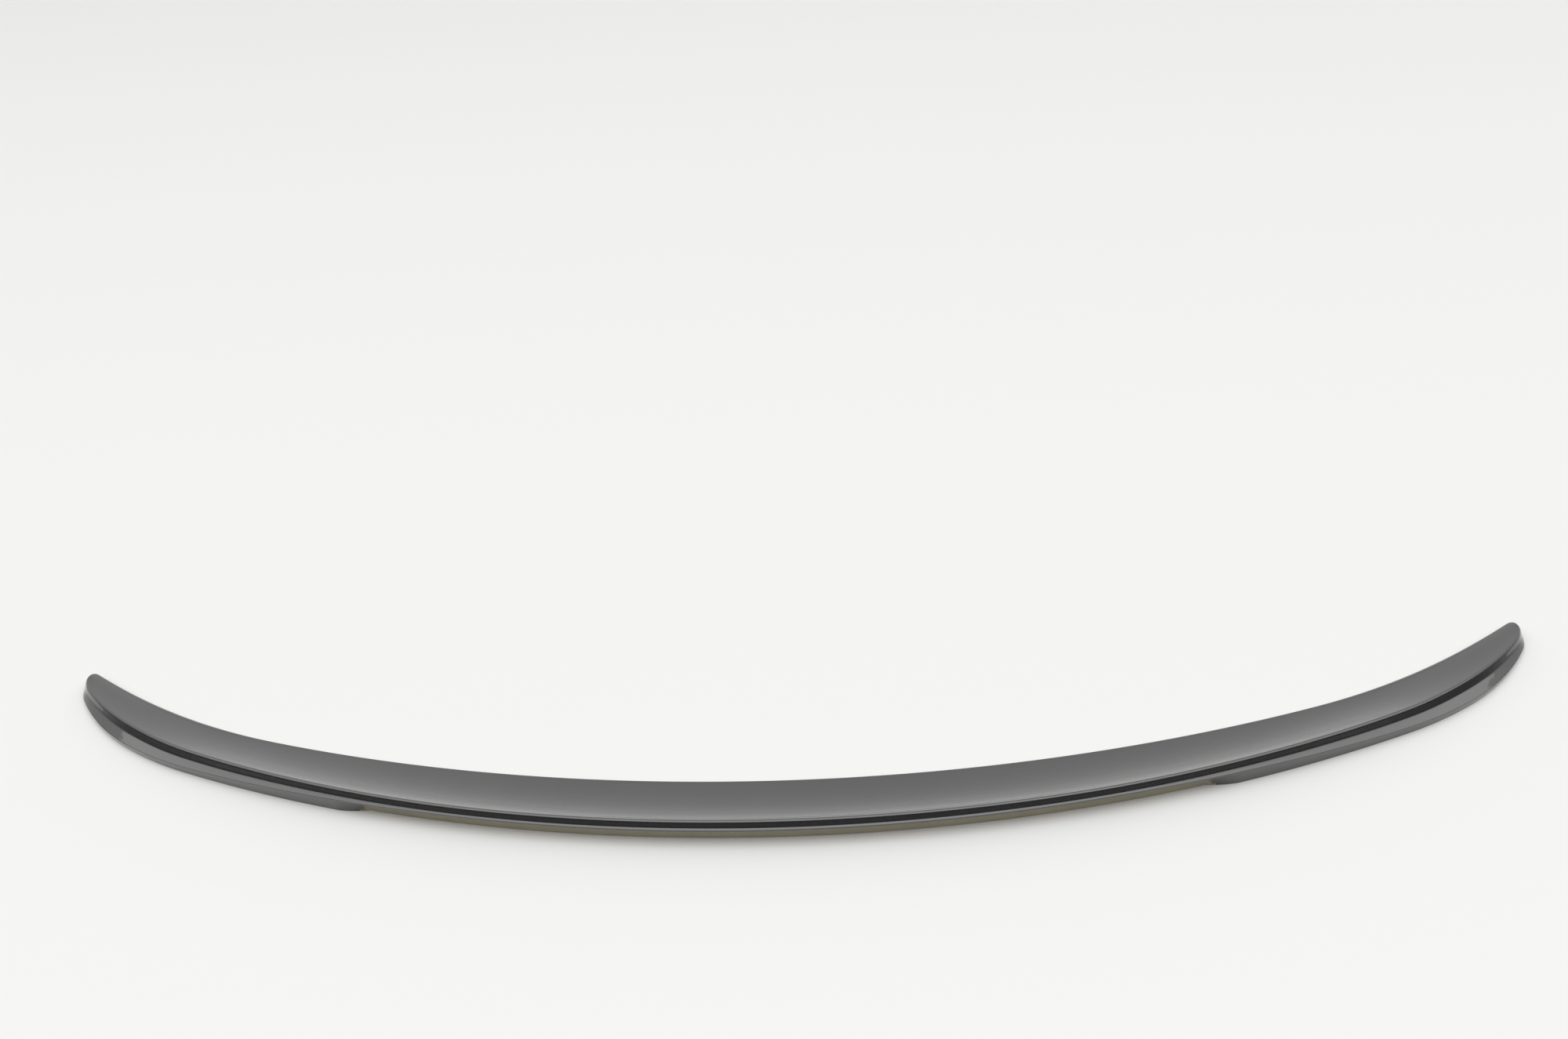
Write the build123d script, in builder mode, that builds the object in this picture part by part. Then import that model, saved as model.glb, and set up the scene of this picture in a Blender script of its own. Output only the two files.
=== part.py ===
"""Rear lip spoiler for a car's boot lid: one moulding, bowed in plan, that lies flat on the lid.

X runs along the span, +Y towards the front of the car, +Z up from the lid. Millimetres.
The body is lofted through sections that stand between two edges of the plan view, the thin
front edge and the rear foot line, and each end is closed by a rounded nose. The middle of the
rear is then undercut just below the lip, and the underside is hollowed to an even wall with ribs.
"""

import os
from math import asin, atan2, cos, degrees, hypot, radians, sin, tan

from build123d import *

os.makedirs("parts", exist_ok=True)

# Plan view: each edge is a long middle arc and shorter arcs that sweep its end forward, and all of
# them grow with the overall length
overall_length = 1200.0
middle_chord = overall_length * 0.0475
front_middle_radius = overall_length * 1.2625
front_end_radius = overall_length * 0.528
front_end_turn = 17.4
front_setback = 11.0
rear_middle_radius = overall_length * 1.1333
rear_shoulder_radius = overall_length * 0.291
rear_shoulder_turn = 10.4
rear_end_radius = overall_length * 0.1775
rear_end_turn = 22.0
rear_corner_radius = overall_length * 0.03
rear_corner_turn = 27.0
rear_setback = 0.7

# Section in the middle of the span
middle_height = 18.8
middle_face = 4.0
middle_ledge = 1.7
middle_bead = 1.9
front_thickness = 2.2
front_slope = 6.0
lip_slope = 37.0
crest_radius = 2.1
face_lean = 30.0
ledge_slope = 22.0
bead_turn = 0.85

# Section towards the tips, the share of the half span at which it starts to change, and how it changes
tip_height = 9.4
tip_face = 7.0
tip_ledge = 4.3
tip_bead = 4.2
tip_front_thickness = 8.0
tip_front_slope = 10.0
tip_lip_slope = 12.0
tip_crest_radius = 2.8
size_taper_start = 0.35
size_taper_power = 1.6
slope_taper_start = 0.5
slope_taper_power = 1.8

# The last part of each end, where the face lies back and shrinks, the ledge turns down and the front
# edge grows, and its very end, where the face and the ledge draw out to the rounded nose
blend_start = 0.66
blend_end = 0.985
blend_slope = 15.0
blend_face = 3.8
blend_face_lean = 46.0
blend_front_round = 3.2
end_start = 0.88
end_face_lean = 38.0
end_ledge_share = 0.7
nose_level = 6.0
nose_fullness = 0.28
nose_end_angle = 80.0

# Undercut below the lip, and the rounded inner ends of the feet beside it
undercut_depth = 5.0
lip_edge = 0.4
foot_start = overall_length * 0.2967
foot_end_radius = 95.0
foot_end_proud = 0.4

# Underside
wall = 3.2
front_land = 15.0
hollow_slope = 13.0
hollow_reach = 0.84
rib_pitch = 96.0
rib_thickness = 2.4

tip_x = overall_length / 2
below = 2.0


def tangent_arcs(start_y, middle_radius, end_arcs, reach):
    """Half an edge of the plan view, from the middle out: an arc and then end_arcs, all tangent.

    Each end arc is a radius and its turn in degrees. The middle arc turns so far that the edge
    ends at reach in X.
    """
    turned = 0.0
    sine_part = middle_radius
    cosine_part = 0.0
    for radius, turn in end_arcs:
        after = radians(turned + turn)
        sine_part += radius * (cos(after) - cos(radians(turned)))
        cosine_part += radius * (sin(after) - sin(radians(turned)))
        turned += turn
    middle_turn = degrees(asin(reach / hypot(sine_part, cosine_part)) - atan2(cosine_part, sine_part))
    with BuildLine() as edge:
        arc = JernArc((0, start_y), (1, 0), middle_radius, middle_turn)
        for radius, turn in end_arcs:
            arc = JernArc(arc @ 1, arc % 1, radius, turn)
    return edge.wires()[0]


front_edge = tangent_arcs(
    0,
    front_middle_radius,
    [(front_end_radius, front_end_turn)],
    tip_x - front_setback,
)
rear_edge = tangent_arcs(
    -middle_chord,
    rear_middle_radius,
    [
        (rear_shoulder_radius, rear_shoulder_turn),
        (rear_end_radius, rear_end_turn),
        (rear_corner_radius, rear_corner_turn),
    ],
    tip_x - rear_setback,
)
nose_half_angle = (rear_edge % 1).get_angle(front_edge % 1) / 2


def chord_at(station):
    """The line from the front edge to the rear edge at a share of the half span."""
    return rear_edge @ abs(station) - front_edge @ abs(station)


def mix(middle, tip, station, start, power):
    """A value that holds from the middle out to start and then goes to its tip value as a power."""
    out = max(0.0, (abs(station) - start) / (1 - start))
    return middle + (tip - middle) * out**power


def size_at(middle, tip, station):
    """A size of the section, on the taper of the lip's height."""
    return mix(middle, tip, station, size_taper_start, size_taper_power)


def slope_at(middle, tip, station):
    """A slope or radius of the section, on the taper of the lip's slope."""
    return mix(middle, tip, station, slope_taper_start, slope_taper_power)


def blend(value, tip, station, start=blend_start, end=blend_end):
    """A value that turns smoothly into its tip value over the last part of the span."""
    out = min(1.0, max(0.0, (abs(station) - start) / (end - start)))
    return value + (tip - value) * out * out * (3 - 2 * out)


def section_plane(station, past=0.0):
    """The upright plane across the body at a share of the half span, negative on the left.

    Its X runs rearward from the front edge and its Y up. past moves it outward.
    """
    side = 1 if station >= 0 else -1
    across = chord_at(station).normalized()
    origin = front_edge @ abs(station) + Vector(-across.Y, across.X) * past
    return Plane(
        origin=(side * origin.X, origin.Y, 0),
        x_dir=(side * across.X, across.Y, 0),
        z_dir=(across.Y, -side * across.X, 0),
    )


def lip_angles(station):
    """The slope of the top at the lip and at the front edge, and the lean of the rear face."""
    slope = blend(slope_at(lip_slope, tip_lip_slope, station), blend_slope, station)
    rise = blend(slope_at(front_slope, tip_front_slope, station), blend_slope, station)
    lean = blend(blend(face_lean, blend_face_lean, station), end_face_lean, station, end_start, 1)
    return radians(slope), radians(rise), radians(lean)


def lip_points(station):
    """The corners of a section: the crest's start, top and end, the crease and the foot of the bead."""
    chord = chord_at(station).length
    height = size_at(middle_height, tip_height, station)
    radius = slope_at(crest_radius, tip_crest_radius, station)
    slope, rise, lean = lip_angles(station)
    ledge_share = size_at(middle_ledge / middle_chord, tip_ledge / chord_at(1).length, station)
    ledge_share *= blend(1, end_ledge_share, station, end_start, 1)
    face = blend(size_at(middle_face, tip_face, station), blend_face, station)
    crease = Vector(chord * (1 - ledge_share), height - face)
    face_top = height - radius * (1 - sin(lean))
    crest_end = Vector(crease.X - (face_top - crease.Y) * tan(lean), face_top)
    centre = Vector(crest_end.X - radius * cos(lean), height - radius)
    crest_start = centre + Vector(-sin(slope), cos(slope)) * radius
    bead_foot = Vector(chord, crease.Y - size_at(middle_bead, tip_bead, station))
    return crest_start, centre + Vector(0, radius), crest_end, crease, bead_foot


def lip_section(station, past=0.0, narrowing=1.0, lowering=1.0):
    """One section of the body, reaching a little below the lid, drawn in if it is in a nose."""
    chord = chord_at(station).length
    slope, rise, lean = lip_angles(station)
    crest_start, crest, crest_end, crease, bead_foot = lip_points(station)
    edge = blend(front_thickness, tip_front_thickness, station)
    edge_round = blend(edge, blend_front_round, station)
    ledge = chord - crease.X
    most_fall = bead_turn * (crease.Y - bead_foot.Y)
    ledge_fall = min(ledge * tan(radians(ledge_slope)), most_fall)
    bead_fall = blend(ledge_fall, min(ledge / tan(lean), most_fall), station)

    def at(x, y):
        above = max(0.0, y - nose_level)
        return chord / 2 + (x - chord / 2) * narrowing, y - above * (1 - lowering)

    with BuildSketch(section_plane(station, past)) as section:
        with BuildLine():
            sole = Line(at(0, -below), at(chord, -below))
            foot = Line(sole @ 1, at(bead_foot.X, bead_foot.Y))
            bead_corner = at(chord, crease.Y - bead_fall)
            bead = Bezier(foot @ 1, bead_corner, at(crease.X, crease.Y))
            face = Line(bead @ 1, at(crest_end.X, crest_end.Y))
            lip = ThreePointArc(face @ 1, at(crest.X, crest.Y), at(crest_start.X, crest_start.Y))
            top = Spline(
                lip @ 1,
                at(edge_round, edge),
                tangents=[(-cos(slope), -sin(slope)), (-cos(rise), -sin(rise))],
            )
            Bezier(top @ 1, at(0, edge), sole @ 0)
        make_face()
    return section.sketch


def nose_section(side, angle):
    """A section of the rounded end of one side, at an angle round it, lower above the nose level."""
    radius = chord_at(1).length / 2 / cos(radians(nose_half_angle))
    past = radius * (sin(radians(angle)) - sin(radians(nose_half_angle)))
    narrowing = cos(radians(angle)) / cos(radians(nose_half_angle))
    return lip_section(side, past, narrowing, narrowing**nose_fullness)


def under_lip_section(station):
    """One section of the space below the lip, from inside the body to past its rear edge."""
    top = lip_points(station)[-1].Y - lip_edge
    with BuildSketch(section_plane(station)) as section:
        with Locations((0, -below)):
            Rectangle(2 * middle_chord, top + below, align=Align.MIN)
    return section.sketch


def hollow_section(station):
    """One section of the hollow under the body, an even wall below the top and before the rear."""
    slope, rise, lean = lip_angles(station)
    crest_start, crest, crest_end, crease, bead_foot = lip_points(station)
    front_rise = radians(hollow_slope)
    back = min(bead_foot.X - undercut_depth - wall, crest_end.X - wall / cos(lean))
    ceiling = crest_start.Y + (back - crest_start.X) * tan(slope) - wall / cos(slope)
    with BuildSketch(section_plane(station)) as section:
        with BuildLine():
            rear = Line((back, -below), (back, ceiling))
            top = Spline(
                rear @ 1,
                (front_land, 0),
                tangents=[(-cos(slope), -sin(slope)), (-cos(front_rise), -sin(front_rise))],
            )
            front = Line(top @ 1, (front_land, -below))
            Line(front @ 1, rear @ 0)
        make_face()
    return section.sketch


def both_sides(shares):
    """Shares of the half span for the left side, the middle and the right side."""
    return [-share for share in reversed(shares)] + [0] + shares


middle_stations = [0.15, 0.3, 0.45, 0.6, 0.71, 0.72]
end_stations = [0.72, 0.73, 0.8, 0.87, 0.93, 0.97, 1.0]
under_lip_stations = [0.15, 0.3, 0.45, 0.6, 0.71]
hollow_stations = [hollow_reach * share for share in (0.3, 0.6, 0.74, 0.88, 1.0)]
nose_angles = [
    nose_half_angle + (nose_end_angle - nose_half_angle) * share for share in (0, 0.4, 0.75, 1)
]
rear_centre = Vector(0, rear_middle_radius - middle_chord)
foot_angle = asin(foot_start / rear_middle_radius)
foot_disc_reach = rear_middle_radius - foot_end_radius + foot_end_proud
rib_spacing = rib_pitch / front_edge.length
rib_stations = [rib_spacing * step for step in range(1, int(hollow_reach / rib_spacing) + 1)]

with BuildPart() as undercut:
    loft(sections=[under_lip_section(station) for station in both_sides(under_lip_stations)])
    with BuildSketch(Plane.XY.offset(-below)):
        with Locations((0, -middle_chord)):
            Rectangle(2 * foot_start, 4 * middle_chord)
        with Locations(rear_centre):
            Circle(rear_middle_radius - undercut_depth, mode=Mode.SUBTRACT)
        for side in (-1, 1):
            outward = Vector(side * sin(foot_angle), -cos(foot_angle))
            with Locations(rear_centre + outward * foot_disc_reach):
                Circle(foot_end_radius, mode=Mode.SUBTRACT)
    extrude(amount=2 * middle_height, mode=Mode.INTERSECT)

with BuildPart() as hollow:
    loft(sections=[hollow_section(station) for station in both_sides(hollow_stations)])
    with Locations([section_plane(station) for station in both_sides(rib_stations)]):
        Box(4 * middle_chord, 4 * middle_height, rib_thickness, mode=Mode.SUBTRACT)

with BuildPart() as spoiler_body:
    loft(sections=[lip_section(station) for station in both_sides(middle_stations)])
    for side in (-1, 1):
        loft(sections=[lip_section(side * station) for station in end_stations])
        loft(sections=[nose_section(side, angle) for angle in nose_angles])
    split(bisect_by=Plane.XY, keep=Keep.TOP)
    add(undercut.part, mode=Mode.SUBTRACT)
    add(hollow.part, mode=Mode.SUBTRACT)

box = spoiler_body.part.bounding_box()
spoiler = spoiler_body.part.moved(Location((-box.center().X, -box.center().Y, 0)))
spoiler.label = "spoiler_body"
export_step(spoiler, "parts/spoiler_body.step")
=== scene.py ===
import math
from types import SimpleNamespace

import bmesh
import bpy
import numpy as np
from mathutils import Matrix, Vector


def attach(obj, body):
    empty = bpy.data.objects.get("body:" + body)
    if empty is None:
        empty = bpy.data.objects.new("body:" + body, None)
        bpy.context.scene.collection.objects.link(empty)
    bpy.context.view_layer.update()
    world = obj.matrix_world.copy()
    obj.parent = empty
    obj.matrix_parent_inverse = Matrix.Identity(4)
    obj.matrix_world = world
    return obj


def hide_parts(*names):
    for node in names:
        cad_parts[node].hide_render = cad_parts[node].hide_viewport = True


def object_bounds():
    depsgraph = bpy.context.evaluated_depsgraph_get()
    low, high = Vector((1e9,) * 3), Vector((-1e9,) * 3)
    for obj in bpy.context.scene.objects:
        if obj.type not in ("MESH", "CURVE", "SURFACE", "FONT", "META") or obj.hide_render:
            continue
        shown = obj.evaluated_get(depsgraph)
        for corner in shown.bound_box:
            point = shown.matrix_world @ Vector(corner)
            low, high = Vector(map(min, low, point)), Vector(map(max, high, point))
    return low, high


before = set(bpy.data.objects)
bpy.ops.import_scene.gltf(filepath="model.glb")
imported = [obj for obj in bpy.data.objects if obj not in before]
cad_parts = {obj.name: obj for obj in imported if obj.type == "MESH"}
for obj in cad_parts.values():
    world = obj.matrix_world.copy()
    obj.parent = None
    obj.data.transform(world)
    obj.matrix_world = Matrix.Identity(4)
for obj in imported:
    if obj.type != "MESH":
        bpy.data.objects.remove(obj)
cadLow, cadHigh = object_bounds()
mm = 0.001
atTip = np.array([1.0])  # the tip, as a share of the half span

# the moulding, in millimetres and degrees
plan = {
    "length": 1200.0,
    "chord": 57.0,
    "frontRadii": (1515.0, 633.6),
    "frontTurns": (17.4,),
    "frontSetback": 11.0,
    "rearRadii": (1359.96, 349.2, 213.0, 36.0),
    "rearTurns": (10.4, 22.0, 27.0),
    "rearSetback": 0.7,
}
lip = {  # each pair is the value in the middle and at the tips
    "height": (18.8, 9.4),
    "face": (4.0, 7.0),
    "ledge": (1.7, 4.3),
    "bead": (1.9, 4.2),
    "frontEdge": (2.2, 8.0),
    "frontSlope": (6.0, 10.0),
    "lipSlope": (37.0, 12.0),
    "crestRadius": (2.1, 2.8),
    "faceLean": (30.0, 46.0),
    "ledgeSlope": 22.0,
    "beadTurn": 0.85,  # share of the bead's height in which the ledge may fall
    "beadTightness": 9.0,
    "creaseRound": 1.1,
    "creaseShare": 0.4,  # most of the face or the ledge that the crease's round takes up
    "sizeTaper": (0.35, 1.6),  # where a size starts to change, as a share of the half span, and its power
    "slopeTaper": (0.5, 1.8),
}
undercut = {
    "depth": 5.0,
    "lipEdge": 0.4,
    "footStart": 344.0,
    "footRadius": 95.0,
    "footProud": 0.4,
    "edgeRound": 0.45,
    "edgeShare": 1 / 3,  # most of the depth that the lip's lower edge is rounded by
}
hollow = {
    "wall": 3.2,
    "frontLand": 15.0,
    "landShare": 0.3,  # most of the chord that the front land takes up
    "backRange": (0.5, 0.95),  # where on the chord the back wall may stand
    "slope": 13.0,
    "reach": 0.84,
    "ribPitch": 96.0,
    "ribThickness": 2.4,
    "ribEdge": 1e-6,  # half the way between the two outlines at a rib's side, as a share of the half span
}
tip = {  # how the lip's edges melt into the rounded end, in the last part of the half span
    "fadeFrom": 0.66,
    "fadeTo": 0.985,
    "slope": 15.0,
    "face": 3.8,
    "endFrom": 0.83,
    "endPower": 1.8,
    "endLean": 30.0,
    "endLedge": 0.5,
    "ledgeFadeFrom": 0.88,
    "frontRound": 3.2,
    "noseSteps": 30,
    "noseBlend": 1.0,
    "noseFullness": 0.72,
    "fallRows": 4,  # the last outlines, whose fall the nose carries on
}
grid = {  # steps along the half span and round each outline
    "stations": 262,
    "frontEdge": 46,  # with topFront as many as from topRear to plinth, which the nose joins to them
    "topFront": 12,
    "topRear": 12,
    "topSplit": 0.5,  # the share of the top at which its front steps end
    "crest": 9,
    "face": 5,
    "crease": 6,
    "bead": 12,
    "wall": 4,
    "lipEdge": 4,
    "underLip": 2,
    "plinth": 4,
    "rearLand": 3,
    "hollowBack": 4,
    "ceiling": 14,
    "frontLand": 5,
}


# an edge of the plan: arcs that follow on from each other, the first one turning so far that the last
# ends at reach; a share of the length gives a point and the heading there
def planEdge(startY, radii, turns, reach, share):
    turned = np.concatenate([[0.0], np.cumsum(np.radians(turns))])
    radii = np.array(radii)
    sinePart = radii[0] + np.sum(radii[1:] * np.diff(np.cos(turned)))
    cosinePart = np.sum(radii[1:] * np.diff(np.sin(turned)))
    first = math.asin(reach / math.hypot(sinePart, cosinePart)) - math.atan2(cosinePart, sinePart)
    heading = np.concatenate([[0.0], first + turned])
    knotX = np.concatenate([[0.0], np.cumsum(radii * np.diff(np.sin(heading)))])
    knotY = startY + np.concatenate([[0.0], np.cumsum(-radii * np.diff(np.cos(heading)))])
    run = np.concatenate([[0.0], np.cumsum(radii * np.diff(heading))])
    along = share * run[-1]
    arc = np.clip(np.searchsorted(run, along, side="right") - 1, 0, len(radii) - 1)
    here = heading[arc] + (along - run[arc]) / radii[arc]
    x = knotX[arc] + radii[arc] * (np.sin(here) - np.sin(heading[arc]))
    y = knotY[arc] + radii[arc] * (np.cos(heading[arc]) - np.cos(here))
    return np.stack([x, y], axis=-1), here, run[-1]


# the front edge: points, headings and whole length, from the middle of the span to a set-back tip
def frontEdge(share):
    reach = plan["length"] / 2 - plan["frontSetback"]
    return planEdge(0.0, plan["frontRadii"], plan["frontTurns"], reach, share)


# the rear edge in the same way, a chord behind the front one in the middle
def rearEdge(share):
    reach = plan["length"] / 2 - plan["rearSetback"]
    return planEdge(-plan["chord"], plan["rearRadii"], plan["rearTurns"], reach, share)


# straight blend: a at share 0 and b at share 1
def mix(a, b, share):
    return a + (b - a) * share


# smooth step: 0 up to low, 1 from high on, and three squares less two cubes of the way between
def smooth(value, low, high):
    t = np.clip((value - low) / (high - low), 0, 1)
    return t * t * (3 - 2 * t)


# holds its middle size to the start of a taper and goes to its tip size as a power of the way out
def tapered(ends, share, taper):
    start, power = taper
    return mix(*ends, np.clip((share - start) / (1 - start), 0, None) ** power)


# points from their places on the chord and their heights
def pair(x, z):
    return np.stack(np.broadcast_arrays(np.asarray(x, float), np.asarray(z, float)), axis=-1)


# unit vectors at an angle above the chord: its cosine and sine
def direction(angle):
    return pair(np.cos(angle), np.sin(angle))


# evenly spread steps from 0 up to, and without, 1
def steps(name):
    return np.linspace(0, 1, grid[name] + 1)[:-1]


# straight line from a to b
def straight(a, b, t):
    return a[:, None] + (b - a)[:, None] * t[None, :, None]


# conic from a to c with its control point at b: a parabola at weight 1, and nearer to b above it
def conic(a, b, c, t, weight=1.0):
    t = t[None, :, None]
    first, middle, last = (1 - t) ** 2, 2 * weight * t * (1 - t), t**2
    return (a[:, None] * first + b[:, None] * middle + c[:, None] * last) / (first + middle + last)


# cubic between two points with a heading at each, its end speeds equal to the distance between them
def hermite(start, end, startDir, endDir, t):
    span = np.linalg.norm(end - start, axis=-1, keepdims=True)
    a, b = start[:, None], end[:, None]
    da, db = (span * startDir)[:, None], (span * endDir)[:, None]
    t = t[None, :, None]
    return (
        a * (2 * t**3 - 3 * t**2 + 1)
        + da * (t**3 - 2 * t**2 + t)
        + b * (3 * t**2 - 2 * t**3)
        + db * (t**3 - t**2)
    )


# how far the rear is cut in below the lip at each place on the rear edge: the full depth in the middle,
# running out along a disc at the inner end of each foot
def undercutDepth(rearPoint):
    radius, footRadius = plan["rearRadii"][0], undercut["footRadius"]
    centre = np.array([0.0, radius - plan["chord"]])
    bearing = np.arctan2(np.abs(rearPoint[:, 0]), centre[1] - rearPoint[:, 1])
    footBearing = math.asin(undercut["footStart"] / radius)
    discReach = radius - footRadius + undercut["footProud"]
    off = discReach * np.sin(bearing - footBearing)
    inDisc = np.abs(off) < footRadius
    disc = discReach * np.cos(bearing - footBearing)
    disc = disc + np.sqrt(np.where(inDisc, footRadius**2 - off**2, 0.0))
    inner = np.maximum(radius - undercut["depth"], np.where(inDisc, disc, 0.0))
    return np.where(bearing < footBearing, np.clip(radius - inner, 0, undercut["depth"]), 0.0)


# sizes and main points of the section at an array of shares of the half span: each size tapers from
# the middle to the tips, and near the tips a smooth step turns it into the rounded end's own
def sectionSizes(share):
    size = SimpleNamespace(front=frontEdge(share)[0], rear=rearEdge(share)[0])
    size.chord = np.linalg.norm(size.rear - size.front, axis=-1)
    tipChord = np.linalg.norm(rearEdge(atTip)[0] - frontEdge(atTip)[0])
    fade = smooth(share, tip["fadeFrom"], tip["fadeTo"])
    end = tapered((0.0, 1.0), share, (tip["endFrom"], tip["endPower"]))
    height = tapered(lip["height"], share, lip["sizeTaper"])
    size.radius = tapered(lip["crestRadius"], share, lip["slopeTaper"])
    slope = tapered(lip["lipSlope"], share, lip["slopeTaper"])
    size.slope = np.radians(mix(slope, tip["slope"], fade))
    rise = tapered(lip["frontSlope"], share, lip["slopeTaper"])
    size.rise = np.radians(mix(rise, tip["slope"], fade))
    size.lean = np.radians(mix(mix(*lip["faceLean"], fade), tip["endLean"], end))
    size.edge = mix(*lip["frontEdge"], fade)
    size.edgeRun = mix(size.edge, tip["frontRound"], fade)
    ledgeShares = lip["ledge"][0] / plan["chord"], lip["ledge"][1] / tipChord
    size.ledge = size.chord * tapered(ledgeShares, share, lip["sizeTaper"])
    size.ledge = size.ledge * mix(1.0, tip["endLedge"], end)
    size.ledgeFade = smooth(share, tip["ledgeFadeFrom"], 1.0)
    face = mix(tapered(lip["face"], share, lip["sizeTaper"]), tip["face"], fade)
    size.crease = pair(size.chord - size.ledge, height - face)
    size.footTop = size.crease[:, 1] - tapered(lip["bead"], share, lip["sizeTaper"])
    size.depth = undercutDepth(size.rear)
    # the crest's arc ends where the leaning face touches it and starts where the top does
    faceTop = height - size.radius * (1 - np.sin(size.lean))
    size.crestEnd = pair(size.crease[:, 0] - (faceTop - size.crease[:, 1]) * np.tan(size.lean), faceTop)
    size.centre = pair(size.crestEnd[:, 0] - size.radius * np.cos(size.lean), height - size.radius)
    upright = pair(-np.sin(size.slope), np.cos(size.slope))
    size.crestStart = size.centre + upright * size.radius[:, None]
    return size


# front edge, top and crest: a conic up from the sole, a cubic that leaves the edge at one slope and
# meets the crest at another, and an arc about the crest's centre
def topPart(size):
    zero = 0 * size.chord
    start = pair(size.edgeRun, size.edge)
    edge = conic(pair(zero, 0), pair(zero, size.edge), start, steps("frontEdge"))
    split = grid["topSplit"]
    along = np.concatenate([split * steps("topFront"), mix(split, 1, steps("topRear"))])
    top = hermite(start, size.crestStart, direction(size.rise), direction(size.slope), along)
    first = math.pi / 2 + size.slope
    sweep = mix(first[:, None], size.lean[:, None], steps("crest")[None])
    crest = size.centre[:, None] + size.radius[:, None, None] * direction(sweep)
    return [("paint", edge), ("paint", top), ("paint", crest)]


# rear face, crease, ledge with its bead, lip and plinth: straight lines joined by conics; the ledge
# falls gently to the bead, and towards the tips it turns down until it runs on from the face
def rearPart(size):
    chord, crease, footTop = size.chord, size.crease, size.footTop
    most = lip["beadTurn"] * (crease[:, 1] - footTop)
    gentle = np.minimum(size.ledge * math.tan(math.radians(lip["ledgeSlope"])), most)
    steep = np.minimum(size.ledge / np.tan(size.lean), most)
    corner = pair(chord, crease[:, 1] - mix(gentle, steep, size.ledgeFade))
    faceLength = np.linalg.norm(size.crestEnd - crease, axis=-1, keepdims=True)
    ledgeLength = np.linalg.norm(corner - crease, axis=-1, keepdims=True)
    reach = np.minimum(lip["creaseRound"], lip["creaseShare"] * np.minimum(faceLength, ledgeLength))
    faceEnd = crease + (size.crestEnd - crease) / faceLength * reach
    ledgeStart = crease + (corner - crease) / ledgeLength * reach
    wallTop = pair(chord, footTop)
    lipEnd = footTop - undercut["lipEdge"]
    edgeRound = np.minimum(undercut["edgeRound"], size.depth * undercut["edgeShare"])
    wallEnd, lipCorner = pair(chord, lipEnd + edgeRound), pair(chord, lipEnd)
    lipStart, inner = pair(chord - edgeRound, lipEnd), chord - size.depth
    return [
        ("paint", straight(size.crestEnd, faceEnd, steps("face"))),
        ("paint", conic(faceEnd, crease, ledgeStart, steps("crease"))),
        ("paint", conic(ledgeStart, corner, wallTop, steps("bead"), lip["beadTightness"])),
        ("paint", straight(wallTop, wallEnd, steps("wall"))),
        ("paint", conic(wallEnd, lipCorner, lipStart, steps("lipEdge"))),
        ("underLip", straight(lipStart, pair(inner, lipEnd), steps("underLip"))),
        ("plinth", straight(pair(inner, lipEnd), pair(inner, 0), steps("plinth"))),
    ]


# underside: the rear land, the hollow's back wall, its roof and the front land; the roof is a cubic that
# starts a wall below the top, and it lies flat in the sole inside a rib and past the hollow's reach
def underPart(size, isHollow):
    chord, slope, wall = size.chord, size.slope, hollow["wall"]
    back = np.minimum(
        chord - undercut["depth"] - wall, size.crestEnd[:, 0] - wall / np.cos(size.lean))
    back = np.clip(back, chord * hollow["backRange"][0], chord * hollow["backRange"][1])
    land = np.minimum(hollow["frontLand"], chord * hollow["landShare"])
    topAtBack = size.crestStart[:, 1] + (back - size.crestStart[:, 0]) * np.tan(slope)
    ceiling = topAtBack - wall / np.cos(slope)
    hollowRise = math.radians(hollow["slope"]) + 0 * slope
    backFoot, landEnd = pair(back, 0), pair(land, 0)
    roof = hermite(
        pair(back, ceiling), landEnd, -direction(slope), -direction(hollowRise), steps("ceiling"))
    shaft = straight(backFoot, pair(back, ceiling), steps("hollowBack"))
    flatRoof = straight(backFoot, landEnd, steps("ceiling"))
    flatShaft = straight(backFoot, backFoot, steps("hollowBack"))
    isOpen = isHollow[:, None, None]
    return [
        ("under", straight(pair(chord - size.depth, 0), backFoot, steps("rearLand"))),
        ("under", np.where(isOpen, shaft, flatShaft)),
        ("under", np.where(isOpen, roof, flatRoof)),
        ("under", straight(landEnd, pair(0 * chord, 0), steps("frontLand"))),
    ]


# closed outlines of the moulding at an array of shares of the half span, as chord and height, from the
# bottom of the front edge over the top and down the rear to the underside; also a zone for each column
def outlines(share, isHollow):
    size = sectionSizes(share)
    parts = topPart(size) + rearPart(size) + underPart(size, isHollow)
    points = np.concatenate([part for zone, part in parts], axis=1)
    zones = np.concatenate([[zone] * part.shape[1] for zone, part in parts])
    points[..., 1] = np.maximum(points[..., 1], 0.0)
    return points, zones, size


# the right half: outlines carried along the span, with close pairs of them at the sides of each rib
def rightHalf():
    frontRun = frontEdge(atTip)[2]
    reach, hair = hollow["reach"], hollow["ribEdge"]
    halfRib = hollow["ribThickness"] / 2 / frontRun
    pitch = hollow["ribPitch"] / frontRun
    ribs = np.arange(0, int(reach / pitch) + 1) * pitch
    edges = np.concatenate([ribs - halfRib, ribs + halfRib, [reach]])
    edges = edges[edges > 0]
    even = np.linspace(0, 1, grid["stations"])
    share = np.unique(np.concatenate([even, edges - hair, edges + hair]))
    inRib = np.any(np.abs(share[:, None] - ribs[None]) < halfRib, axis=1)
    points, zones, size = outlines(share, (share < reach) & ~inRib)
    across = (size.rear - size.front) / size.chord[:, None]
    xy = size.front[:, None] + across[:, None] * points[..., :1]
    return np.concatenate([xy, points[..., 1:]], axis=-1), points, zones, size.depth


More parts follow.
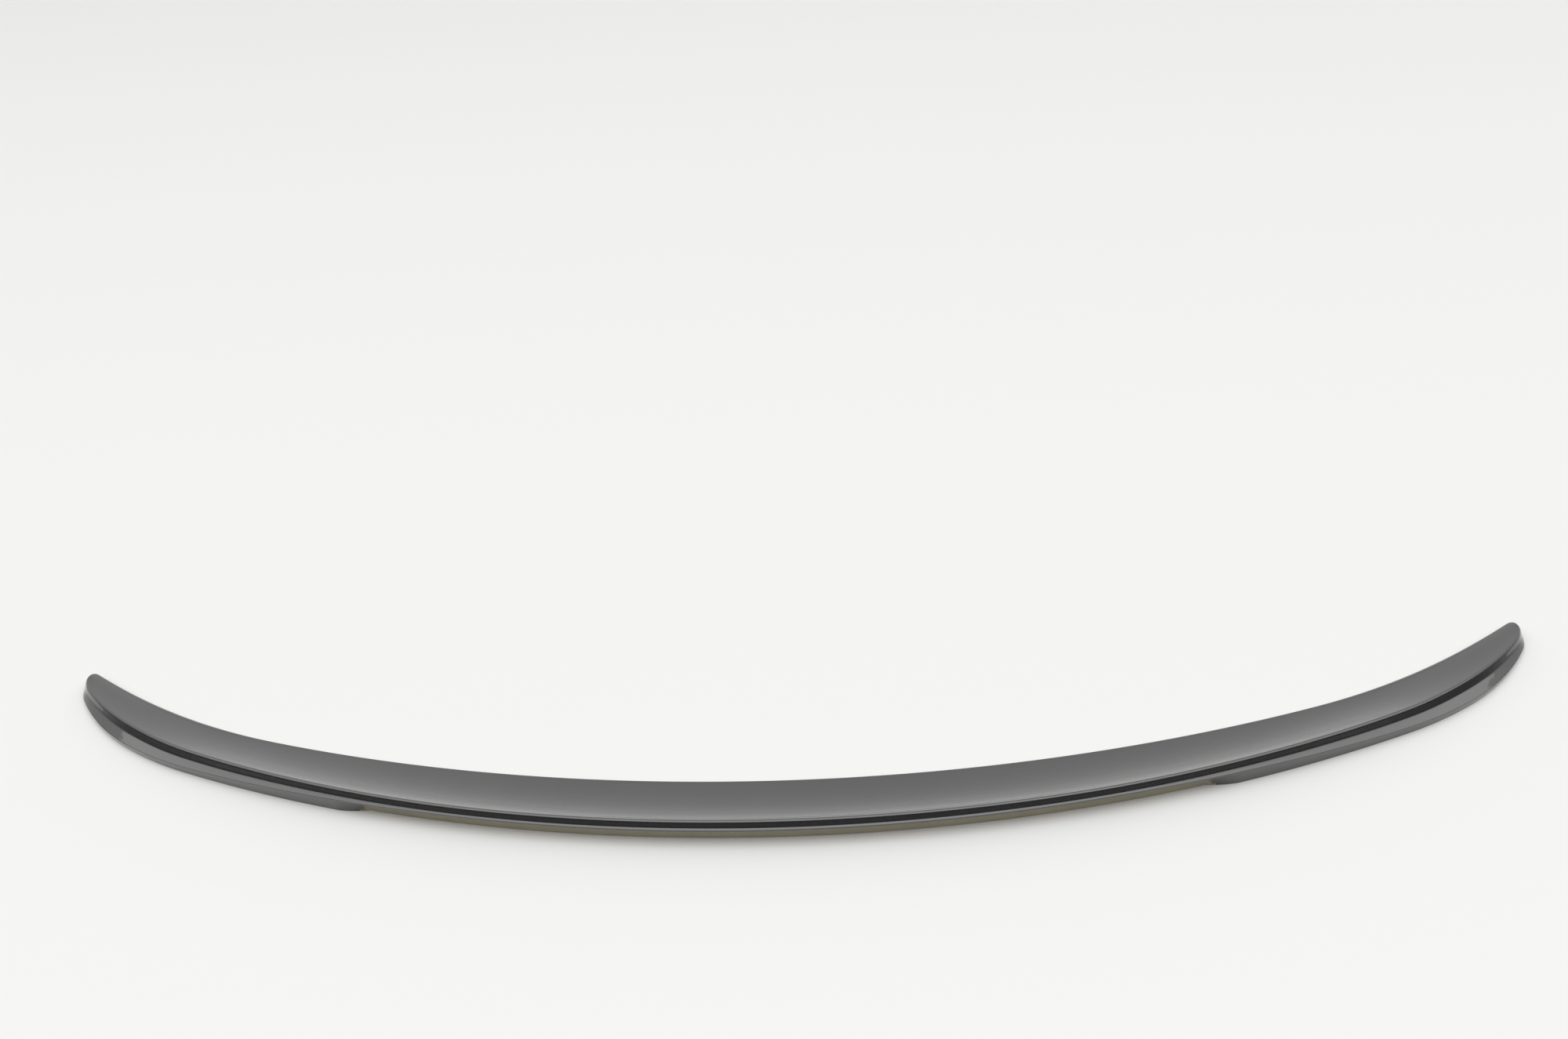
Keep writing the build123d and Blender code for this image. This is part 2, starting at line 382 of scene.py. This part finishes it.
# the rounded end: spokes from the middle of the last outline to a conic that is tangent to both edges;
# the outline's rear half turns into its front half on the way round, and the height goes on falling
def rightNose(half, lastOutline, topSpine, baseRear, baseSpine):
    rearHalf = np.arange(topSpine, baseSpine + 1)
    frontHalf = np.concatenate(
        [np.arange(topSpine, -1, -1), np.arange(len(lastOutline) - 1, baseSpine - 1, -1)])
    frontPoint, frontHeading, _ = frontEdge(atTip)
    rearPoint, rearHeading, _ = rearEdge(atTip)
    chord = np.linalg.norm(rearPoint[0] - frontPoint[0])
    across = (rearPoint[0] - frontPoint[0]) / chord
    outward = np.array([-across[1], across[0]])
    # the rim lies across and outward, with its control point where the two edges' tangents meet
    ahead = math.atan2(outward[1], outward[0])
    rearLean, frontLean = rearHeading[0] - ahead, ahead - frontHeading[0]
    rearRun = chord / (math.sin(rearLean) + math.cos(rearLean) * math.tan(frontLean))
    meet = pair([chord - rearRun * math.sin(rearLean)], [rearRun * math.cos(rearLean)])
    turn = np.linspace(0, 1, tip["noseSteps"] + 1)
    rim = conic(pair([chord], [0]), meet, pair([0], [0]), turn, tip["noseFullness"])[0]
    # each spoke's way in from the rim and its height change from the rear half's to the front half's
    weight = smooth(turn, 0, tip["noseBlend"])[:, None]
    rearX, rearZ = lastOutline[rearHalf].T
    frontX, frontZ = lastOutline[frontHalf].T
    inset = mix(chord - rearX, frontX, weight)
    height = mix(rearZ, frontZ, weight)
    isUpper = np.arange(len(rearHalf)) <= baseRear - topSpine
    pole = np.where(isUpper, lastOutline[topSpine, 0], lastOutline[baseSpine, 0])
    whole = mix(chord - pole, pole, weight)
    toPole = pair(pole, 0)[None] - rim[:, None]
    local = rim[:, None] + toPole * (inset / whole)[..., None]
    before, after = half[-tip["fallRows"], topSpine], half[-1, topSpine]
    fall = (after[2] - before[2]) / np.linalg.norm((after - before)[:2])
    height = height * (1 + fall * local[..., 1] / lastOutline[topSpine, 1])
    xy = frontPoint[0] + local[..., :1] * across + local[..., 1:] * outward
    print("nose", round(chord, 1), "mm across,", len(turn), "spokes")
    return np.concatenate([xy, height[..., None]], -1)


sprayAndShade = {  # how the paint runs down over the plinth, and the painted shade that darkens the plinth's top under the lip
    "runOut": 0.35,  # share of the undercut's depth that is gone where the plinth is all paint
    "runOutWeight": 0.75,
    # the height share also darkens the plinth's top towards the paint colour as painted shade under the
    # lip
    "heightWeight": 0.55,
    "bareBelow": 0.45,
    "fullAbove": 0.75,
}


# paint on the plinth, and painted shade under the lip: none at its foot under the full undercut, a trace
# below the lip that stands in partly for paint and partly for the lip's shade, and all paint where the
# undercut has run out by a set share; the weighted sum of both shares goes through a smooth step
def sprayAndShadeShare(tube, zones, depth):
    top = tube[:, zones == "plinth", 2].max(axis=1, keepdims=True)
    up = tube[..., 2] / top
    out = (1 - depth / undercut["depth"])[:, None] / sprayAndShade["runOut"]
    reached = sprayAndShade["runOutWeight"] * out + sprayAndShade["heightWeight"] * up
    sprayShade = smooth(reached, sprayAndShade["bareBelow"], sprayAndShade["fullAbove"])
    onPlinth = (zones == "plinth") | (zones == "underLip")
    return np.where(onPlinth[None], sprayShade, 0.0)


# faces between neighbours on a grid that is numbered row by row; wrap joins its last column to its first
def gridFaces(rows, columns, wrap):
    i, j = np.meshgrid(np.arange(rows - 1), np.arange(columns if wrap else columns - 1), indexing="ij")
    after = (j + 1) % columns
    corners = [i * columns + j, i * columns + after, (i + 1) * columns + after, (i + 1) * columns + j]
    return np.stack(corners, -1).reshape(-1, 4)


finish = {
    "inset": 1e-5,  # share of the box that is kept clear
    "weld": 2e-6,  # metres
    "sliver": 1e-6,
    "sharpAngle": 55.0,
}


# points in millimetres set in the middle of the solid's box, in metres: the true curves stand a hair
# outside the solid's facets, so each axis is drawn in by its share of the box where it is too long
def intoBox(points):
    points = (points - [0, (points[:, 1].min() + points[:, 1].max()) / 2, 0]) * mm
    box = np.array(cadHigh) - np.array(cadLow)
    points *= np.minimum(1, (1 - finish["inset"]) * box / np.ptp(points, axis=0))
    points[:, 1] += (cadLow[1] + cadHigh[1]) / 2
    return points


# a closed mesh: doubles welded, slivers dissolved, faces turned outwards and edges sharp from an angle on
def closeMesh(mesh):
    work = bmesh.new()
    work.from_mesh(mesh)
    bmesh.ops.remove_doubles(work, verts=work.verts, dist=finish["weld"])
    bmesh.ops.dissolve_degenerate(work, edges=work.edges, dist=finish["sliver"])
    bmesh.ops.recalc_face_normals(work, faces=work.faces)
    openEdges = sum(not edge.is_manifold for edge in work.edges)
    volume = work.calc_volume(signed=True)
    work.to_mesh(mesh)
    work.free()
    mesh.set_sharp_from_angle(angle=math.radians(finish["sharpAngle"]))
    print("mesh", len(mesh.polygons), "faces,", openEdges, "open edges,", round(volume * 1e6, 1), "cm3")


# the whole moulding: the right half and its mirror image as one tube of outlines, closed by the two noses
def buildBody():
    half, outline, zones, depth = rightHalf()
    topSpine = grid["frontEdge"] + grid["topFront"]
    baseRear = int(np.argmax(zones == "under"))
    baseSpine = baseRear + (len(zones) - baseRear) // 2
    nose = rightNose(half, outline[-1], topSpine, baseRear, baseSpine)
    mirror = np.array([-1.0, 1.0, 1.0])
    tube = np.concatenate([half[::-1] * mirror, half[1:]])
    rows, columns = tube.shape[:2]
    noseRows, noseColumns = nose.shape[:2]
    print("body", rows, "outlines of", columns, "points")
    points = np.concatenate([block.reshape(-1, 3) for block in (tube, nose, nose * mirror)])
    noseFaces = gridFaces(noseRows, noseColumns, False) + rows * columns
    faces = [gridFaces(rows, columns, True), noseFaces, noseFaces + noseRows * noseColumns]
    # the plinth is bare under the full undercut, and paint creeps down over it as the undercut runs out;
    # its top is also darkened towards the paint colour as painted shade under the lip
    depth = np.concatenate([depth[::-1], depth[1:]])
    sprayShade = sprayAndShadeShare(tube, zones, depth)
    cut = np.maximum(depth[:-1], depth[1:])[:, None]
    isCut = cut > (1 - sprayAndShade["runOut"]) * undercut["depth"]
    zone = np.broadcast_to(zones[None], (rows - 1, columns))
    bare = (zone == "under") | ((zone != "paint") & isCut)
    noseBare = np.arange(noseColumns - 1) >= baseRear - topSpine
    noseBare = np.broadcast_to(noseBare, (noseRows - 1, noseColumns - 1))
    slots = np.concatenate([bare.ravel(), noseBare.ravel(), noseBare.ravel()])
    mesh = bpy.data.meshes.new("spoiler")
    mesh.from_pydata(intoBox(points).tolist(), [], np.concatenate(faces).tolist())
    mesh.polygons.foreach_set("material_index", slots.astype(np.int32))
    mesh.polygons.foreach_set("use_smooth", np.ones(len(mesh.polygons), bool))
    # this attribute carries the paint on the plinth and the painted shade under the lip
    sprayShadeLayer = mesh.attributes.new("sprayAndShade", "FLOAT", "POINT")
    noseSprayShade = np.zeros(2 * noseRows * noseColumns)
    sprayShadeLayer.data.foreach_set("value", np.concatenate([sprayShade.ravel(), noseSprayShade]))
    closeMesh(mesh)
    body = bpy.data.objects.new("spoiler", mesh)
    bpy.context.scene.collection.objects.link(body)
    return body


# a material with its nodes, its links and its Principled shader
def newMaterial(name):
    material = bpy.data.materials.new(name)
    material.use_nodes = True
    nodes, links = material.node_tree.nodes, material.node_tree.links
    return material, nodes, links, nodes["Principled BSDF"]


# a node with its own settings
def newNode(nodes, kind, **settings):
    node = nodes.new(kind)
    for name, value in settings.items():
        setattr(node, name, value)
    return node


unevenLook = {"detail": 4.0, "middle": 0.5}


# uneven patches: noise at a given number of patches to the metre, spread about the middle by its contrast
def unevenGroup():
    group = bpy.data.node_groups.new("uneven", "ShaderNodeTree")
    group.interface.new_socket("Place", in_out="INPUT", socket_type="NodeSocketVector")
    group.interface.new_socket("Patches", in_out="INPUT", socket_type="NodeSocketFloat")
    group.interface.new_socket("Contrast", in_out="INPUT", socket_type="NodeSocketFloat")
    group.interface.new_socket("Share", in_out="OUTPUT", socket_type="NodeSocketFloat")
    nodes, links = group.nodes, group.links
    given, result = nodes.new("NodeGroupInput"), nodes.new("NodeGroupOutput")
    noise = nodes.new("ShaderNodeTexNoise")
    noise.inputs["Detail"].default_value = unevenLook["detail"]
    links.new(given.outputs["Place"], noise.inputs["Vector"])
    links.new(given.outputs["Patches"], noise.inputs["Scale"])
    off = newNode(nodes, "ShaderNodeMath", operation="SUBTRACT")
    off.inputs[1].default_value = unevenLook["middle"]
    links.new(noise.outputs["Fac"], off.inputs[0])
    spread = newNode(nodes, "ShaderNodeMath", operation="DIVIDE")
    links.new(off.outputs["Value"], spread.inputs[0])
    links.new(given.outputs["Contrast"], spread.inputs[1])
    share = newNode(nodes, "ShaderNodeMath", operation="ADD", use_clamp=True)
    share.inputs[1].default_value = unevenLook["middle"]
    links.new(spread.outputs["Value"], share.inputs[0])
    links.new(share.outputs["Value"], result.inputs["Share"])
    return group


# two colours mixed by the uneven patches
def unevenColour(material, place, first, second, patches, contrast):
    nodes, links = material.node_tree.nodes, material.node_tree.links
    uneven = newNode(nodes, "ShaderNodeGroup", node_tree=bpy.data.node_groups["uneven"])
    uneven.inputs["Patches"].default_value = patches
    uneven.inputs["Contrast"].default_value = contrast
    links.new(place.outputs["Object"], uneven.inputs["Place"])
    colour = newNode(nodes, "ShaderNodeMix", data_type="RGBA")
    colour.inputs["A"].default_value = first
    colour.inputs["B"].default_value = second
    links.new(uneven.outputs["Share"], colour.inputs["Factor"])
    return colour.outputs["Result"]


paintLook = {
    "base": (0.085, 0.084, 0.083, 1.0),
    "shade": (0.081, 0.080, 0.080, 1.0),
    "cloudsPerMetre": 24.0,
    "cloudContrast": 0.35,
    "roughness": 0.27,
    "coatRoughness": 0.03,
    "flakesPerMetre": 3200.0,
    "flakeTilt": 0.045,
}


# dark grey metallic paint: flakes that lie at small random tilts, under a smooth clear coat
def metallicPaint():
    material, nodes, links, shader = newMaterial("metallicPaint")
    place = nodes.new("ShaderNodeTexCoord")
    colour = unevenColour(material, place, paintLook["base"], paintLook["shade"],
                          paintLook["cloudsPerMetre"], paintLook["cloudContrast"])
    links.new(colour, shader.inputs["Base Color"])
    shader.inputs["Metallic"].default_value = 1.0
    shader.inputs["Roughness"].default_value = paintLook["roughness"]
    shader.inputs["Coat Weight"].default_value = 1.0
    shader.inputs["Coat Roughness"].default_value = paintLook["coatRoughness"]
    # a random vector for each flake, centred, scaled to the tilt and added to the surface's normal
    flakes = nodes.new("ShaderNodeTexVoronoi")
    flakes.inputs["Scale"].default_value = paintLook["flakesPerMetre"]
    links.new(place.outputs["Object"], flakes.inputs["Vector"])
    tilt = newNode(nodes, "ShaderNodeVectorMath", operation="SUBTRACT")
    tilt.inputs[1].default_value = (0.5, 0.5, 0.5)
    links.new(flakes.outputs["Color"], tilt.inputs[0])
    lean = newNode(nodes, "ShaderNodeVectorMath", operation="MULTIPLY_ADD")
    lean.inputs[1].default_value = [2 * paintLook["flakeTilt"]] * 3
    links.new(tilt.outputs["Vector"], lean.inputs[0])
    surface = nodes.new("ShaderNodeNewGeometry")
    links.new(surface.outputs["Normal"], lean.inputs[2])
    facing = newNode(nodes, "ShaderNodeVectorMath", operation="NORMALIZE")
    links.new(lean.outputs["Vector"], facing.inputs[0])
    links.new(facing.outputs["Vector"], shader.inputs["Normal"])
    return material


bareLook = {
    "base": (0.42, 0.38, 0.27, 1.0),
    "pale": (0.36, 0.335, 0.25, 1.0),
    "patchesPerMetre": 55.0,
    "patchContrast": 0.5,
    "roughness": 0.62,
}


# the moulding's own olive plastic, turning to paint where the overspray reaches it, and darkened towards
# the paint colour as painted shade just under the lip
def bareMoulding():
    material, nodes, links, shader = newMaterial("bareMoulding")
    place = nodes.new("ShaderNodeTexCoord")
    colour = unevenColour(material, place, bareLook["base"], bareLook["pale"],
                          bareLook["patchesPerMetre"], bareLook["patchContrast"])
    # the attribute mixes in paint, and it darkens the plinth's top as painted shade under the lip
    sprayShade = newNode(nodes, "ShaderNodeAttribute", attribute_name="sprayAndShade")
    sprayShadeLayer = newNode(nodes, "ShaderNodeMix", data_type="RGBA")
    links.new(colour, sprayShadeLayer.inputs["A"])
    sprayShadeLayer.inputs["B"].default_value = paintLook["base"]
    links.new(sprayShade.outputs["Fac"], sprayShadeLayer.inputs["Factor"])
    links.new(sprayShadeLayer.outputs["Result"], shader.inputs["Base Color"])
    rough = nodes.new("ShaderNodeMapRange")
    rough.inputs["To Min"].default_value = bareLook["roughness"]
    rough.inputs["To Max"].default_value = paintLook["roughness"]
    links.new(sprayShade.outputs["Fac"], rough.inputs["Value"])
    links.new(rough.outputs["Result"], shader.inputs["Roughness"])
    links.new(sprayShade.outputs["Fac"], shader.inputs["Metallic"])
    links.new(sprayShade.outputs["Fac"], shader.inputs["Coat Weight"])
    shader.inputs["Coat Roughness"].default_value = paintLook["coatRoughness"]
    return material


floorLook = {
    "colour": (0.80, 0.80, 0.79, 1.0),
    "roughness": 0.5,
    "size": 18.0,
    "drop": 0.0001,  # a hair below the sole, so that the two faces don't share a plane
}


# the floor: one square face
def buildFloor():
    half, z = floorLook["size"] / 2, -floorLook["drop"]
    corners = [(-half, -half, z), (half, -half, z), (half, half, z), (-half, half, z)]
    mesh = bpy.data.meshes.new("floor")
    mesh.from_pydata(corners, [], [(0, 1, 2, 3)])
    floor = bpy.data.objects.new("floor", mesh)
    bpy.context.scene.collection.objects.link(floor)
    material, nodes, links, shader = newMaterial("paleFloor")
    shader.inputs["Base Color"].default_value = floorLook["colour"]
    shader.inputs["Roughness"].default_value = floorLook["roughness"]
    mesh.materials.append(material)
    return floor


studioLook = {  # the light's strengths, and the parts of a unit direction between which they change
    "ahead": 1.0,
    "above": 0.70,
    "dim": 0.15,
    "aheadFrom": 0.0,
    "aheadTo": 0.5,
    "backFrom": 0.30,
    "backTo": -0.15,
    "lowFrom": 0.97,
    "lowTo": 0.78,
    "backdrop": 0.86,
}


# even studio light from all round, a little stronger from ahead and dim only low down behind the lip
def buildStudio():
    world = bpy.data.worlds.new("studio")
    world.use_nodes = True
    nodes, links = world.node_tree.nodes, world.node_tree.links
    way = nodes.new("ShaderNodeTexCoord")
    split = nodes.new("ShaderNodeSeparateXYZ")
    links.new(way.outputs["Generated"], split.inputs["Vector"])

    # smooth step of a direction's part, from 0 at start to 1 at end
    def ramp(source, start, end):
        node = newNode(nodes, "ShaderNodeMapRange", interpolation_type="SMOOTHSTEP")
        node.inputs["From Min"].default_value = start
        node.inputs["From Max"].default_value = end
        links.new(source, node.inputs["Value"])
        return node.outputs["Result"]

    back = ramp(split.outputs["Y"], studioLook["backFrom"], studioLook["backTo"])
    low = ramp(split.outputs["Z"], studioLook["lowFrom"], studioLook["lowTo"])
    ahead = ramp(split.outputs["Y"], studioLook["aheadFrom"], studioLook["aheadTo"])
    both = newNode(nodes, "ShaderNodeMath", operation="MULTIPLY")
    links.new(back, both.inputs[0])
    links.new(low, both.inputs[1])
    bright = nodes.new("ShaderNodeMapRange")
    bright.inputs["To Min"].default_value = studioLook["above"]
    bright.inputs["To Max"].default_value = studioLook["ahead"]
    links.new(ahead, bright.inputs["Value"])
    level = nodes.new("ShaderNodeMapRange")
    links.new(bright.outputs["Result"], level.inputs["To Min"])
    level.inputs["To Max"].default_value = studioLook["dim"]
    links.new(both.outputs["Value"], level.inputs["Value"])
    # where the camera sees past the floor's edge, the backdrop is as pale as the floor
    ray = nodes.new("ShaderNodeLightPath")
    seen = nodes.new("ShaderNodeMapRange")
    links.new(level.outputs["Result"], seen.inputs["To Min"])
    seen.inputs["To Max"].default_value = studioLook["backdrop"]
    links.new(ray.outputs["Is Camera Ray"], seen.inputs["Value"])
    links.new(seen.outputs["Result"], nodes["Background"].inputs["Strength"])
    nodes["Background"].inputs["Color"].default_value = (1.0, 1.0, 1.0, 1.0)
    bpy.context.scene.world = world


overheadLook = {
    "place": (0.0, -0.875, 6.0),
    "aim": (0.0, -0.875, 0.0),
    "size": (17.5, 6.5),
    "watts": 465.0,
}


# a rectangular lamp that points from its place to its aim
def softbox(name, look):
    data = bpy.data.lights.new(name, "AREA")
    data.shape = "RECTANGLE"
    data.size, data.size_y = look["size"]
    data.energy = look["watts"]
    lamp = bpy.data.objects.new(name, data)
    lamp.location = look["place"]
    lamp.rotation_mode = "QUATERNION"
    lamp.rotation_quaternion = (Vector(look["aim"]) - Vector(look["place"])).to_track_quat("-Z", "Y")
    bpy.context.scene.collection.objects.link(lamp)
    return lamp


cameraLook = {
    "place": (0.0561, -0.6619, 0.7243),
    "turn": (52.49, 3.594, 0.785),  # degrees about X, Y and Z
    "sensorWidth": 36.0,
    "lens": 28.48,
}


# the photo's own view
def photoCamera():
    data = bpy.data.cameras.new("photoCamera")
    data.sensor_width = cameraLook["sensorWidth"]
    data.lens = cameraLook["lens"]
    camera = bpy.data.objects.new("photoCamera", data)
    camera.location = cameraLook["place"]
    camera.rotation_euler = [math.radians(angle) for angle in cameraLook["turn"]]
    bpy.context.scene.collection.objects.link(camera)
    bpy.context.scene.camera = camera
    return camera


body = buildBody()
unevenGroup()
body.data.materials.append(metallicPaint())
body.data.materials.append(bareMoulding())
print("finishes", [material.name for material in body.data.materials])
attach(body, "root")
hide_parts("spoiler_body")
buildFloor()
buildStudio()
softbox("overhead", overheadLook)
photoCamera()
bpy.context.scene.view_settings.view_transform = "Standard"
print("studio, lamp and camera set")
